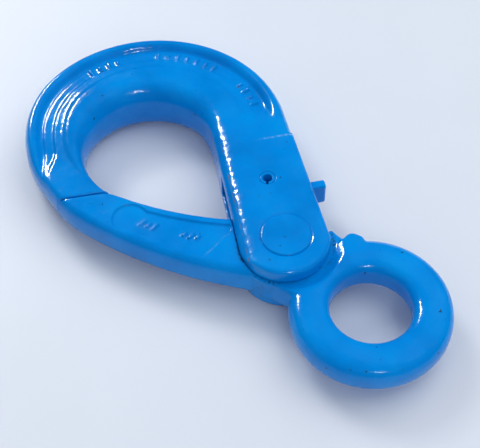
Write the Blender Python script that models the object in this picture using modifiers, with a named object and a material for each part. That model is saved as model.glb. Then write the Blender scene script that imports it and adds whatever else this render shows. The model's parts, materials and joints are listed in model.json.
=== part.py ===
"""Self-locking eye hook for 13 mm lifting chain, lying flat on its side.

Frame: +X along the load line towards the eye, +Y towards the back of the hook, +Z up, metres.
The origin is the centre of the bounding box, at its bottom. Inside the model every outline is
drawn round the load pin's axis, on the mid-plane, and one empty carries it all to its place.
"""

import bmesh
import bpy
from math import acos, atan2, cos, hypot, pi, radians, sin, sqrt
from mathutils import Vector

MM = 0.001
COLLECTION = "eye_hook_with_latch"

# Where the load pin stands in the object's frame
PIN_X, PIN_Y, MID_Z = 38.15 * MM, -10.72 * MM, 16.0 * MM

# Hook bowl: inner circle, then the outer outline as two arcs, measured from the load pin
BOWL_X, BOWL_RADIUS = -95.8 * MM, 34.7 * MM
BACK_ARC_X, BACK_ARC_Y, BACK_ARC_RADIUS = -97.5 * MM, 5.6 * MM, 73.5 * MM
TIP_ARC_RADIUS = 57.9 * MM
TIP_ARC_START, TIP_ARC_END = radians(187.5), radians(259.0)
BOWL_HALF_THICKNESS = 16.0 * MM
TIP_HALF_THICKNESS = 9.4 * MM
SEAM_INNER_ANGLE, SEAM_OUTER_ANGLE = radians(279.5), radians(258.2)
BOWL_RINGS = 44

# Fork: two cheeks round the eye's hub
FORK_RADIUS = 23.1 * MM
FORK_X, FORK_Y = -0.5 * MM, -0.65 * MM
FORK_ANGLE = radians(143.13)
FORK_HALF_THICKNESS = 15.4 * MM
FORK_END_ALONG = 66.0 * MM
FRONT_ROUNDING, FRONT_DROP = 8.5 * MM, 6.5 * MM
SLOT_HALF, SLOT_END_ALONG = 7.2 * MM, 50.0 * MM

# Load pin
PIN_RADIUS, PIN_HEAD_RADIUS, PIN_HEAD_THICKNESS = 8.0 * MM, 12.8 * MM, 1.9 * MM

# Eye, hub and latch arm
EYE_X, EYE_Y, EYE_RING_RADIUS = 54.4 * MM, -0.4 * MM, 30.2 * MM
EYE_HALF_WIDTH, EYE_HALF_THICKNESS = 10.1 * MM, 9.4 * MM
HUB_RADIUS, HUB_HALF = 25.5 * MM, 6.9 * MM
NECK_START = (6.0 * MM, 23.6 * MM, 9.3 * MM)
NECK_END = (24.6 * MM, 22.3 * MM, 8.9 * MM)
SHOULDER_X, SHOULDER_Y, SHOULDER_RADIUS = 24.2 * MM, 24.1 * MM, 4.8 * MM
COVE_RADIUS = 30.5 * MM
ARM_HALF_THICKNESS = 9.2 * MM
ARM_INNER_ARC = (-142.4 * MM, 147.4 * MM, 189.1 * MM)
ARM_OUTER_ARC = (-119.7 * MM, 176.6 * MM, 235.5 * MM)
ARM_RINGS = 20
POCKET_DEPTH, POCKET_INNER_BORDER, POCKET_OUTER_BORDER = 1.1 * MM, 5.2 * MM, 4.6 * MM
POCKET_START_X, POCKET_END_X = -72.5 * MM, -25.5 * MM

# Trigger, on a slotted spring pin across the fork
TRIGGER_ALONG, TRIGGER_ACROSS = 37.7 * MM, -1.0 * MM
TRIGGER_HALF, TRIGGER_BOSS_RADIUS = 6.9 * MM, 8.0 * MM
TRIGGER_TRAVEL, LATCH_TRAVEL = 14.0, 45.0
TAB_NEAR, TAB_FAR, TAB_ACROSS = 32.2 * MM, 37.2 * MM, 29.6 * MM
SPRING_GROOVE_HALF = 2.9 * MM
ROLL_PIN_RADIUS, ROLL_PIN_WALL, ROLL_PIN_SLIT = 4.0 * MM, 1.5 * MM, 1.1 * MM
RECESS_RADIUS = 21.8 * MM
RECESS_START, RECESS_END = radians(62.0), radians(133.5)

# Spring
SPRING_WIRE, SPRING_RADIUS, SPRING_TURNS, SPRING_PITCH = 1.1 * MM, 5.4 * MM, 3, 1.3 * MM

GAP = 0.3 * MM
SEAM_GAP = 0.6 * MM
ROUND_SIDES = 48


def clear_scene():
    for obj in list(bpy.data.objects):
        bpy.data.objects.remove(obj, do_unlink=True)


def new_collection(name):
    made = bpy.data.collections.new(name)
    bpy.context.scene.collection.children.link(made)
    return made


def paint(name, colour, roughness, metallic=0.0):
    material = bpy.data.materials.new(name)
    material.use_nodes = True
    shader = material.node_tree.nodes["Principled BSDF"]
    shader.inputs["Base Color"].default_value = (*colour, 1.0)
    shader.inputs["Roughness"].default_value = roughness
    shader.inputs["Metallic"].default_value = metallic
    return material


# ---------------------------------------------------------------- building helpers


def add_mesh(name, bm, collection):
    """The bmesh as an object, with its faces pointing out."""
    bmesh.ops.recalc_face_normals(bm, faces=bm.faces)
    mesh = bpy.data.meshes.new(name)
    bm.to_mesh(mesh)
    bm.free()
    obj = bpy.data.objects.new(name, mesh)
    collection.objects.link(obj)
    return obj


def loft(name, rings, collection):
    """A closed skin over rings with equally many points, capped at both ends."""
    bm = bmesh.new()
    loops = [[bm.verts.new(point) for point in ring] for ring in rings]
    count = len(rings[0])
    for near, far in zip(loops, loops[1:]):
        for i in range(count):
            j = (i + 1) % count
            bm.faces.new((near[i], near[j], far[j], far[i]))
    bm.faces.new(reversed(loops[0]))
    bm.faces.new(loops[-1])
    bmesh.ops.triangulate(bm, faces=[f for f in bm.faces if len(f.verts) > 4])
    return add_mesh(name, bm, collection)


def plate(name, outline, low, high, collection, rounding=0.0):
    """A flat outline extruded from low to high, with its edges rounded."""
    curve = bpy.data.curves.new(name, "CURVE")
    curve.dimensions = "2D"
    curve.fill_mode = "BOTH"
    curve.extrude = (high - low) / 2 - rounding
    curve.bevel_depth = rounding
    curve.offset = -rounding
    curve.bevel_resolution = 1
    spline = curve.splines.new("POLY")
    spline.points.add(len(outline) - 1)
    for point, (x, y) in zip(spline.points, outline):
        point.co = (x, y, 0, 1)
    spline.use_cyclic_u = True
    flat = bpy.data.objects.new(name + "_outline", curve)
    flat.location.z = (low + high) / 2
    collection.objects.link(flat)
    bpy.context.view_layer.update()
    graph = bpy.context.evaluated_depsgraph_get()
    mesh = bpy.data.meshes.new_from_object(flat.evaluated_get(graph))
    mesh.transform(flat.matrix_world)
    bpy.data.objects.remove(flat)
    bm = bmesh.new()
    bm.from_mesh(mesh)
    bpy.data.meshes.remove(mesh)
    bmesh.ops.remove_doubles(bm, verts=bm.verts, dist=1e-6)
    return add_mesh(name, bm, collection)


def turned(name, profile, collection, centre=(0, 0)):
    """A profile of (radius, height), top to bottom, turned about a vertical axis."""
    mesh = bpy.data.meshes.new(name)
    edges = [(i, i + 1) for i in range(len(profile) - 1)]
    mesh.from_pydata([(r, 0, z) for r, z in profile], edges, [])
    obj = bpy.data.objects.new(name, mesh)
    obj.location = (*centre, 0)
    collection.objects.link(obj)
    screw = obj.modifiers.new("turn", "SCREW")
    screw.steps = screw.render_steps = ROUND_SIDES
    screw.use_merge_vertices = True
    screw.merge_threshold = 1e-6
    return obj


def cylinder(name, radius, low, high, collection, centre=(0, 0)):
    bm = bmesh.new()
    bmesh.ops.create_cone(
        bm, cap_ends=True, segments=ROUND_SIDES, radius1=radius, radius2=radius, depth=high - low
    )
    bmesh.ops.translate(bm, verts=bm.verts, vec=(*centre, (low + high) / 2))
    return add_mesh(name, bm, collection)


def combine(target, tool, operation):
    change = target.modifiers.new(operation.lower() + "_" + tool.name, "BOOLEAN")
    change.operation = operation
    change.object = tool
    change.solver = "EXACT"


def hide_tools(collection):
    for tool in collection.objects:
        tool.hide_render = True
        tool.display_type = "WIRE"


def arc(centre, radius, start, end, steps):
    turn = [start + (end - start) * i / steps for i in range(steps + 1)]
    return [(centre[0] + radius * cos(a), centre[1] + radius * sin(a)) for a in turn]


def fork_point(along, across):
    """A point measured along the fork from the load pin, and across it towards the back."""
    c, s = cos(FORK_ANGLE), sin(FORK_ANGLE)
    return along * c + across * s, along * s - across * c


def smooth(value):
    value = min(max(value, 0.0), 1.0)
    return value * value * (3 - 2 * value)


# ---------------------------------------------------------------- outline of the hook


def back_line():
    """Straight back edge as (normal angle, offset): it touches the fork's end and the back arc."""
    dx, dy = BACK_ARC_X - FORK_X, BACK_ARC_Y - FORK_Y
    normal = atan2(dy, dx) - acos((FORK_RADIUS - BACK_ARC_RADIUS) / hypot(dx, dy))
    return normal, FORK_X * cos(normal) + FORK_Y * sin(normal) + FORK_RADIUS


def front_line():
    """Straight front edge, with the same normal side: it touches the fork's end and the bowl."""
    dx, dy = BOWL_X - FORK_X, -FORK_Y
    normal = atan2(dy, dx) - acos(-(FORK_RADIUS + BOWL_RADIUS) / hypot(dx, dy))
    return normal, FORK_X * cos(normal) + FORK_Y * sin(normal) - FORK_RADIUS


def tip_arc_centre():
    inward = BACK_ARC_RADIUS - TIP_ARC_RADIUS
    return (
        BACK_ARC_X + inward * cos(TIP_ARC_START),
        BACK_ARC_Y + inward * sin(TIP_ARC_START),
    )


def ray_to_line(angle, normal, offset):
    """How far a ray from the bowl's centre runs to a line."""
    return (offset - BOWL_X * cos(normal)) / cos(angle - normal)


def ray_to_circle(angle, centre, radius):
    dx, dy = centre[0] - BOWL_X, centre[1]
    along = dx * cos(angle) + dy * sin(angle)
    aside = dx * sin(angle) - dy * cos(angle)
    return along + sqrt(radius * radius - aside * aside)


def seen_from_bowl(centre, radius, angle):
    """Direction from the bowl's centre to a point of an arc, from 0 to 2 pi."""
    x = centre[0] + radius * cos(angle) - BOWL_X
    y = centre[1] + radius * sin(angle)
    return atan2(y, x) % (2 * pi)


def outer_reach(angle):
    """Distance from the bowl's centre to the outer outline."""
    back, tip = (BACK_ARC_X, BACK_ARC_Y), tip_arc_centre()
    normal, offset = back_line()
    if angle < seen_from_bowl(back, BACK_ARC_RADIUS, normal):
        return ray_to_line(angle, normal, offset)
    if angle < seen_from_bowl(back, BACK_ARC_RADIUS, TIP_ARC_START):
        return ray_to_circle(angle, back, BACK_ARC_RADIUS)
    if angle < seen_from_bowl(tip, TIP_ARC_RADIUS, TIP_ARC_END):
        return ray_to_circle(angle, tip, TIP_ARC_RADIUS)
    normal = TIP_ARC_END
    offset = tip[0] * cos(normal) + tip[1] * sin(normal) + TIP_ARC_RADIUS
    return ray_to_line(angle, normal, offset)


def bowl_point(angle, reach):
    return Vector((BOWL_X + reach * cos(angle), reach * sin(angle), 0))


# ---------------------------------------------------------------- hook body


def ribbed_profile(width, crest):
    """Upper half of the bowl's section, from its inner edge to its outer edge."""
    lobe = width - 21.5 * MM
    points = []
    for step in range(7):
        turn = step * pi / 12
        points.append((lobe * (1 - cos(turn) ** 0.8), (crest - 1.0 * MM) * sin(turn) ** 0.8))
    for inset, drop in (
        (20.8, 2.0),
        (12.8, 2.1),
        (10.2, 3.0),
        (7.8, 1.5),
        (5.0, 0.0),
        (2.6, 1.1),
        (0.9, 4.2),
        (0.2, 9.0),
        (0.0, 16.0),
    ):
        points.append((width - inset * MM, crest - drop * MM))
    return points


def plain_profile(width, crest):
    """Upper half of a bar with rounded edges, with as many points as the ribbed one."""
    points = []
    for step in range(7):
        turn = step * pi / 12
        points.append((4.0 * MM * (1 - cos(turn)), crest * sin(turn) ** 0.6))
    for share in (0.3, 0.42, 0.54, 0.66):
        points.append((width * share, crest))
    for inset, share in ((5.0, 1.0), (3.0, 0.94), (1.3, 0.75), (0.4, 0.4), (0.0, 0.0)):
        points.append((width - inset * MM, crest * share))
    return points


def full_section(inner, outer, upper):
    """A whole ring in the vertical plane through inner and outer, from the upper half of a profile."""
    across = (outer - inner).normalized()
    top = [inner + across * w + Vector((0, 0, h)) for w, h in upper]
    under = [inner + across * w - Vector((0, 0, h)) for w, h in reversed(upper[1:-1])]
    return top + under


def bowl_ring(inner_angle):
    """One section of the bowl. Towards the tip the ribs fade and the plane leans to meet the latch."""
    share = smooth((inner_angle - radians(190)) / (SEAM_INNER_ANGLE - radians(190)))
    outer_angle = inner_angle - share * (SEAM_INNER_ANGLE - SEAM_OUTER_ANGLE)
    inner = bowl_point(inner_angle, BOWL_RADIUS)
    outer = bowl_point(outer_angle, outer_reach(outer_angle))
    width = (outer - inner).length
    thin = smooth((inner_angle - radians(175)) / (SEAM_INNER_ANGLE - radians(175)))
    crest = BOWL_HALF_THICKNESS + thin * (TIP_HALF_THICKNESS - BOWL_HALF_THICKNESS)
    plain = smooth((inner_angle - radians(205)) / radians(40))
    ribbed = ribbed_profile(width, crest)
    ribbed[-1] = (width, 0.0)
    mixed = [
        (rw + plain * (pw - rw), rh + plain * (ph - rh))
        for (rw, rh), (pw, ph) in zip(ribbed, plain_profile(width, crest))
    ]
    return full_section(inner, outer, mixed)


def root_ring(along, inset):
    """A section across the fork, where the bowl grows out of it; inset hides it inside the cheeks."""
    foot = Vector((*fork_point(along, 0), 0))
    across = Vector((sin(FORK_ANGLE), -cos(FORK_ANGLE), 0))
    reach = []
    for normal, offset in (front_line(), back_line()):
        out = Vector((cos(normal), sin(normal), 0))
        reach.append((offset - foot.dot(out)) / across.dot(out))
    inner = foot + across * (reach[0] + inset)
    outer = foot + across * (reach[1] - inset)
    upper = ribbed_profile((outer - inner).length, BOWL_HALF_THICKNESS - inset)
    upper[-1] = ((outer - inner).length, 0.0)
    return full_section(inner, outer, upper)


def trimmed(ring, inset):
    """The same ring shrunk towards its middle, for the softened edge at the seam."""
    centre = sum(ring, Vector()) / len(ring)
    return [point + (centre - point).normalized() * inset for point in ring]


def hook_bowl(collection):
    start = front_line()[0]
    rings = [root_ring(56 * MM, 2.5 * MM), root_ring(FORK_END_ALONG - 1 * MM, 1.6 * MM)]
    rings.append(root_ring(FORK_END_ALONG + 1 * MM, 0.0))
    for i in range(BOWL_RINGS + 1):
        rings.append(bowl_ring(start + (SEAM_INNER_ANGLE - start) * i / BOWL_RINGS))
    end = rings[-1]
    towards_latch = seam_normal() * 0.7 * MM
    rings[-1] = [point - towards_latch for point in end]
    rings.append(trimmed(end, 0.6 * MM))
    return loft("hook_body", rings, collection)


def seam_normal():
    """Unit normal of the face where the latch meets the hook's tip, pointing at the latch."""
    inner = bowl_point(SEAM_INNER_ANGLE, BOWL_RADIUS)
    outer = bowl_point(SEAM_OUTER_ANGLE, outer_reach(SEAM_OUTER_ANGLE))
    run = (outer - inner).normalized()
    return Vector((-run.y, run.x, 0))


def fork_outline():
    """Round end at the load pin, then straight edges up to the bowl."""
    lines = (back_line(), front_line())
    outline = arc((FORK_X, FORK_Y), FORK_RADIUS, lines[1][0] - pi, lines[0][0], 26)
    for normal, offset in lines:
        touch = Vector((cos(normal), sin(normal))) * offset
        run = Vector((-sin(normal), cos(normal)))
        heading = Vector((cos(FORK_ANGLE), sin(FORK_ANGLE)))
        corner = touch + run * (FORK_END_ALONG - touch.dot(heading)) / run.dot(heading)
        outline.append((corner.x, corner.y))
    return outline


def cheek_profile(width, crest):
    """Upper half of the fork's section: a broad rounding at the front, a small one at the back."""
    points = [(0.0, 0.0)]
    for step in range(6):
        turn = step * pi / 10
        points.append((FRONT_ROUNDING * (1 - cos(turn)), crest - FRONT_DROP * (1 - sin(turn))))
    for inset, drop in ((3.2, 0.0), (1.8, 0.5), (0.8, 1.5), (0.4, 4.0)):
        points.append((width - inset * MM, crest - drop * MM))
    return points + [(width, 0.0)]


def cheek_bar(tools):
    """A straight bar with the fork's section, longer than the fork at both ends."""
    rings = []
    for along in (-32 * MM, FORK_END_ALONG + 4 * MM):
        foot = Vector((*fork_point(along, 0), 0))
        across = Vector((sin(FORK_ANGLE), -cos(FORK_ANGLE), 0))
        reach = []
        for normal, offset in (front_line(), back_line()):
            out = Vector((cos(normal), sin(normal), 0))
            reach.append((offset - foot.dot(out)) / across.dot(out))
        inner, outer = foot + across * reach[0], foot + across * reach[1]
        profile = cheek_profile((outer - inner).length, FORK_HALF_THICKNESS)
        rings.append(full_section(inner, outer, profile))
    return loft("cheek_bar", rings, tools)


def fork_slot(tools):
    ends = ((-40, -40), (-40, 40), (SLOT_END_ALONG / MM, 40), (SLOT_END_ALONG / MM, -40))
    corners = [fork_point(along * MM, across * MM) for along, across in ends]
    return plate("fork_slot", corners, -SLOT_HALF, SLOT_HALF, tools)


def make_hook_body(parts, tools):
    body = hook_bowl(parts)
    cheeks = plate(
        "cheeks",
        fork_outline(),
        -FORK_HALF_THICKNESS - 0.1 * MM,
        FORK_HALF_THICKNESS + 0.1 * MM,
        tools,
        2.6 * MM,
    )
    combine(cheeks, cheek_bar(tools), "INTERSECT")
    combine(body, cheeks, "UNION")
    combine(body, fork_slot(tools), "DIFFERENCE")
    reach = BOWL_HALF_THICKNESS + 2 * MM
    seat = BOWL_HALF_THICKNESS - PIN_HEAD_THICKNESS - GAP
    head_room = PIN_HEAD_RADIUS + GAP
    trigger_axis = fork_point(TRIGGER_ALONG, TRIGGER_ACROSS)
    for tool in (
        cylinder("load_pin_bore", PIN_RADIUS + GAP, -reach, reach, tools),
        cylinder("upper_head_seat", head_room, seat, reach, tools),
        cylinder("lower_head_seat", head_room, -reach, -seat, tools),
        cylinder(
            "trigger_pin_bore", ROLL_PIN_RADIUS + GAP / 2, -reach, reach, tools, trigger_axis
        ),
    ):
        combine(body, tool, "DIFFERENCE")
    return body


# ---------------------------------------------------------------- eye, hub and latch arm


def eye_ring(collection):
    """The eye's ring, a turned rounded section a little flatter than an ellipse."""
    points = 18
    rings = []
    for i in range(ROUND_SIDES):
        turn = 2 * pi * i / ROUND_SIDES
        ring = []
        for k in range(points):
            a = 2 * pi * k / points
            reach = EYE_RING_RADIUS + EYE_HALF_WIDTH * bulge(cos(a))
            height = EYE_HALF_THICKNESS * bulge(sin(a))
            ring.append((EYE_X + reach * cos(turn), EYE_Y + reach * sin(turn), height))
        rings.append(ring)
    bm = bmesh.new()
    loops = [[bm.verts.new(point) for point in ring] for ring in rings]
    for i in range(ROUND_SIDES):
        near, far = loops[i], loops[(i + 1) % ROUND_SIDES]
        for k in range(points):
            m = (k + 1) % points
            bm.faces.new((near[k], near[m], far[m], far[k]))
    return add_mesh("eye_latch", bm, collection)


def bulge(value):
    """Sine or cosine pushed outwards, which squares a circle off slightly."""
    return (abs(value) ** 0.85) * (1 if value >= 0 else -1)


def arm_edge(curve, x):
    """Point of one of the arm's long edges at x."""
    centre_x, centre_y, radius = curve
    return Vector((x, centre_y - sqrt(radius**2 - (x - centre_x) ** 2), 0))


def arm_profile(width, crest):
    """Upper half of the arm's section."""
    points = [(0.0, 0.0)]
    for inset, share in ((0.1, 0.5), (0.5, 0.72), (1.4, 0.88), (2.9, 0.97), (4.6, 1.0)):
        points.append((inset * MM, crest * share))
    for inset, share in ((4.4, 1.0), (2.6, 0.96), (1.1, 0.82), (0.3, 0.62), (0.0, 0.0)):
        points.append((width - inset * MM, crest * share))
    return points


def latch_arm(tools):
    """From the seam at the hook's tip to inside the hub."""
    gap = seam_normal() * SEAM_GAP
    tip_inner = bowl_point(SEAM_INNER_ANGLE, BOWL_RADIUS) + gap
    tip_outer = bowl_point(SEAM_OUTER_ANGLE, outer_reach(SEAM_OUTER_ANGLE)) + gap
    inner_end, outer_end = -17 * MM, 1 * MM
    inner_start = arm_edge(ARM_INNER_ARC, tip_inner.x)
    outer_start = arm_edge(ARM_OUTER_ARC, tip_outer.x)
    rings = []
    for i in range(ARM_RINGS + 1):
        share = i / ARM_RINGS
        tuck = max(0.0, 1 - share / 0.14) ** 2
        inner = arm_edge(ARM_INNER_ARC, tip_inner.x + share * (inner_end - tip_inner.x))
        outer = arm_edge(ARM_OUTER_ARC, tip_outer.x + share * (outer_end - tip_outer.x))
        inner += (tip_inner - inner_start) * tuck
        outer += (tip_outer - outer_start) * tuck
        rings.append(full_section(inner, outer, arm_profile((outer - inner).length, ARM_HALF_THICKNESS)))
    first = rings[0]
    rings[0] = trimmed(first, 0.7 * MM)
    rings.insert(1, [point + seam_normal() * 0.8 * MM for point in first])
    return loft("latch_arm", rings, tools)


def neck(tools):
    """Joins the hub to the eye."""
    rings = []
    for x, half_width, height in (NECK_START, NECK_END):
        inner, outer = Vector((x, half_width, 0)), Vector((x, -half_width, 0))
        rings.append(full_section(inner, outer, plain_profile(2 * half_width, height)))
    return loft("neck", rings, tools)


def shoulder(tools):
    """The stop that meets the fork's back edge when the latch is fully open."""
    height, radius, soft = EYE_HALF_THICKNESS - 0.3 * MM, SHOULDER_RADIUS, 2.5 * MM
    profile = [
        (0, height),
        (radius - soft, height),
        (radius - 0.3 * soft, height - 0.3 * soft),
        (radius, height - soft),
        (radius, -height + soft),
        (radius - 0.3 * soft, -height + 0.3 * soft),
        (radius - soft, -height),
        (0, -height),
    ]
    return turned("shoulder", profile, tools, (SHOULDER_X, SHOULDER_Y))


def cheek_clearance(tools, side):
    """Cutter that thins the hub between the cheeks, with a cove rising to the eye and the arm."""
    top, clear, floor = 25 * MM, FORK_RADIUS + 2 * GAP, HUB_HALF - 0.1 * MM
    rise = EYE_HALF_THICKNESS + 0.4 * MM - floor
    cove = []
    for step in range(7):
        turn = step * pi / 12
        radius = COVE_RADIUS - (COVE_RADIUS - clear) * sin(turn)
        cove.append((radius, floor + rise * (1 - sin(turn)) ** 1.4))
    profile = [(0, top), (COVE_RADIUS, top)] + cove + [(0, floor)]
    if side < 0:
        profile = [(r, -z) for r, z in reversed(profile)]
    name = "cove_above" if side > 0 else "cove_below"
    return turned(name, profile, tools)


def open_clearance(tools, side):
    """Cutter where the fork's back edge stands, as the eye sees it, with the latch fully open."""
    normal, offset = back_line()
    normal -= radians(LATCH_TRAVEL)
    out, run = Vector((cos(normal), sin(normal), 0)), Vector((-sin(normal), cos(normal), 0))
    touch = out * (offset + GAP)
    corners = [touch, touch + run * 60 * MM, (run * 60 - out * 20) * MM, out * -20 * MM]
    outline = [(corner.x, corner.y) for corner in corners]
    floor = HUB_HALF - 0.05 * MM
    low, high = (floor, 25 * MM) if side > 0 else (-25 * MM, -floor)
    return plate("open_room_above" if side > 0 else "open_room_below", outline, low, high, tools)


def fork_clearance(tools, side):
    """Cutter with the fork's round end and front edge, for the arm's root above or below the hub."""
    normal, offset = front_line()
    out = Vector((cos(normal), sin(normal)))
    run = Vector((-sin(normal), cos(normal)))
    touch = Vector((FORK_X, FORK_Y)) - out * (FORK_RADIUS + GAP)
    end = arc((FORK_X, FORK_Y), FORK_RADIUS + GAP, normal - pi, normal, 30)
    corners = [touch + run * 60 * MM + out * 90 * MM, touch + run * 60 * MM]
    outline = [(corner.x, corner.y) for corner in corners] + end
    floor = HUB_HALF - 0.15 * MM
    low, high = (floor, 25 * MM) if side > 0 else (-25 * MM, -floor)
    return plate("fork_room_above" if side > 0 else "fork_room_below", outline, low, high, tools)


def pocket_outline():
    """Long recess in the arm: a round end near the tip, sides that follow the arm, a square end."""
    inner = (*ARM_INNER_ARC[:2], ARM_INNER_ARC[2] + POCKET_INNER_BORDER)
    outer = (*ARM_OUTER_ARC[:2], ARM_OUTER_ARC[2] - POCKET_OUTER_BORDER)
    length = POCKET_END_X - POCKET_START_X
    along = [POCKET_START_X + length * i / 6 for i in range(7)]
    upper = [arm_edge(inner, x + 0.12 * (POCKET_END_X - x)) for x in along]
    lower = [arm_edge(outer, x) for x in reversed(along)]
    upper[-1] = upper[-1] + Vector((-3.0 * MM, -1.2 * MM, 0))
    corner = [Vector((POCKET_END_X, upper[-1].y - 2.6 * MM, 0))]
    middle = (upper[0] + lower[-1]) / 2
    radius = (upper[0] - lower[-1]).length / 2
    start = atan2(lower[-1].y - middle.y, lower[-1].x - middle.x)
    round_end = arc((middle.x, middle.y), radius, start, start - pi, 10)[1:-1]
    return [(p.x, p.y) for p in upper + corner + lower] + round_end


def make_eye_latch(parts, tools):
    body = eye_ring(parts)
    hub = cylinder("hub", HUB_RADIUS, -HUB_HALF, HUB_HALF, tools)
    for piece in (neck(tools), shoulder(tools), hub):
        combine(body, piece, "UNION")
    arm = latch_arm(tools)
    for side in (1, -1):
        combine(body, cheek_clearance(tools, side), "DIFFERENCE")
        combine(body, open_clearance(tools, side), "DIFFERENCE")
        combine(arm, fork_clearance(tools, side), "DIFFERENCE")
    combine(body, arm, "UNION")
    top, floor = ARM_HALF_THICKNESS + 2 * MM, ARM_HALF_THICKNESS - POCKET_DEPTH
    combine(body, plate("upper_pocket", pocket_outline(), floor, top, tools), "DIFFERENCE")
    combine(body, plate("lower_pocket", pocket_outline(), -top, -floor, tools), "DIFFERENCE")
    recess = arc((0, 0), RECESS_RADIUS, RECESS_START, RECESS_END, 16)
    recess += arc((0, 0), HUB_RADIUS + 3 * MM, RECESS_END, RECESS_START, 16)
    combine(body, plate("pawl_recess", recess, -top, top, tools), "DIFFERENCE")
    combine(body, cylinder("hub_bore", PIN_RADIUS + GAP, -top, top, tools), "DIFFERENCE")
    return body


# ---------------------------------------------------------------- pins, trigger and spring


def make_load_pin(parts):
    half, chamfer = BOWL_HALF_THICKNESS, 0.5 * MM
    under = half - PIN_HEAD_THICKNESS
    upper = [
        (0, half),
        (PIN_HEAD_RADIUS - chamfer, half),
        (PIN_HEAD_RADIUS, half - chamfer),
        (PIN_HEAD_RADIUS, under),
        (PIN_RADIUS, under),
    ]
    return turned("load_pin", upper + [(r, -z) for r, z in reversed(upper)], parts)


def make_trigger_pin(parts):
    """A rolled spring pin: a tube with a slit along it."""
    inner = ROLL_PIN_RADIUS - ROLL_PIN_WALL
    facing = radians(-50)
    wide, narrow = ROLL_PIN_SLIT / 2 / ROLL_PIN_RADIUS, ROLL_PIN_SLIT / 2 / inner
    outline = arc((0, 0), ROLL_PIN_RADIUS, facing + wide, facing + 2 * pi - wide, 32)
    outline += arc((0, 0), inner, facing + 2 * pi - narrow, facing + narrow, 32)
    half = FORK_HALF_THICKNESS - 0.2 * MM
    pin = plate("trigger_pin", outline, -half, half, parts)
    pin.location = (*fork_point(TRIGGER_ALONG, TRIGGER_ACROSS), 0)
    return pin


def trigger_outline():
    """Boss on the pin, a tab out of the hook's back, and a pawl that reaches the hub."""
    boss = (TRIGGER_ALONG, TRIGGER_ACROSS)
    pawl = [(30.6, 1.4), (26.4, 5.4), (19.4, 11.1), (23.3, 15.5), (27.4, 19.2), (31.4, 20.6)]
    pawl = [(along * MM, across * MM) for along, across in pawl]
    soft = 1.2 * MM
    tab = [
        (TAB_NEAR, 23.0 * MM),
        (TAB_NEAR, TAB_ACROSS - soft),
        (TAB_NEAR + soft, TAB_ACROSS),
        (TAB_FAR - soft, TAB_ACROSS),
        (TAB_FAR, TAB_ACROSS - soft),
        (TAB_FAR, 21.0 * MM),
    ]
    round_boss = arc(boss, TRIGGER_BOSS_RADIUS, radians(35), radians(-150), 14)
    outline = [fork_point(along, across) for along, across in pawl + tab + round_boss]
    origin = fork_point(*boss)
    return [(x - origin[0], y - origin[1]) for x, y in outline]


def make_trigger(parts, tools):
    trigger = plate(
        "trigger", trigger_outline(), -TRIGGER_HALF, TRIGGER_HALF, parts, 0.8 * MM
    )
    axis = fork_point(TRIGGER_ALONG, TRIGGER_ACROSS)
    trigger.location = (*axis, 0)
    reach = TRIGGER_HALF + 2 * MM
    bore = cylinder("trigger_bore", ROLL_PIN_RADIUS + GAP, -reach, reach, tools, axis)
    half = SPRING_GROOVE_HALF
    groove = cylinder("spring_groove", 9.5 * MM, -half, half, tools, axis)
    ends = ((36.0, -1.0), (40.5, -1.0), (40.5, 14.0), (36.0, 14.0))
    corners = [fork_point(along * MM, across * MM) for along, across in ends]
    leg_room = plate("spring_leg_room", corners, -half + 0.1 * MM, half - 0.1 * MM, tools)
    for tool in (bore, groove, leg_room):
        combine(trigger, tool, "DIFFERENCE")
    return trigger


def make_trigger_spring(parts):
    """Torsion spring round the trigger pin, with a leg along the tab and one to the slot's end."""
    steps_per_turn = 14
    steps = SPRING_TURNS * steps_per_turn
    start = FORK_ANGLE - radians(180)
    rise = SPRING_TURNS * SPRING_PITCH
    points = []
    for i in range(steps + 1):
        turn = start + 2 * pi * i / steps_per_turn
        height = -rise / 2 + rise * i / steps
        points.append(Vector((SPRING_RADIUS * cos(turn), SPRING_RADIUS * sin(turn), height)))
    towards_tab = Vector((sin(FORK_ANGLE), -cos(FORK_ANGLE), 0))
    points.insert(0, points[0] + towards_tab * -5.5 * MM)
    points.append(points[-1] + towards_tab * 7.0 * MM)
    curve = bpy.data.curves.new("trigger_spring", "CURVE")
    curve.dimensions = "3D"
    curve.bevel_depth = SPRING_WIRE / 2
    curve.bevel_resolution = 1
    curve.use_fill_caps = True
    spline = curve.splines.new("POLY")
    spline.points.add(len(points) - 1)
    for point, place in zip(spline.points, points):
        point.co = (*place, 1)
    spring = bpy.data.objects.new("trigger_spring", curve)
    spring.location = (*fork_point(TRIGGER_ALONG, TRIGGER_ACROSS), 0)
    parts.objects.link(spring)
    return spring


def finish(obj, material):
    obj.data.materials.clear()
    obj.data.materials.append(material)
    if obj.type == "MESH":
        obj.data.shade_smooth()
        obj.data.set_sharp_from_angle(angle=radians(35))


def main():
    clear_scene()
    parts, tools = new_collection(COLLECTION), new_collection("cutters")
    enamel = (0.0, 0.23, 0.75)
    made = (
        (make_hook_body(parts, tools), paint("blue_enamel_body", enamel, 0.2)),
        (make_eye_latch(parts, tools), paint("blue_enamel_latch", enamel, 0.2)),
        (make_load_pin(parts), paint("blue_enamel_pin", enamel, 0.22)),
        (make_trigger(parts, tools), paint("blue_enamel_trigger", enamel, 0.25)),
        (make_trigger_pin(parts), paint("painted_spring_steel", (0.0, 0.16, 0.55), 0.35)),
        (make_trigger_spring(parts), paint("spring_steel", (0.3, 0.3, 0.32), 0.35, 1.0)),
    )
    frame = bpy.data.objects.new("load_pin_axis", None)
    frame.location = (PIN_X, PIN_Y, MID_Z)
    parts.objects.link(frame)
    for obj, material in made:
        finish(obj, material)
        obj.parent = frame
    for tool in tools.objects:
        tool.parent = frame
    hide_tools(tools)


main()
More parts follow.
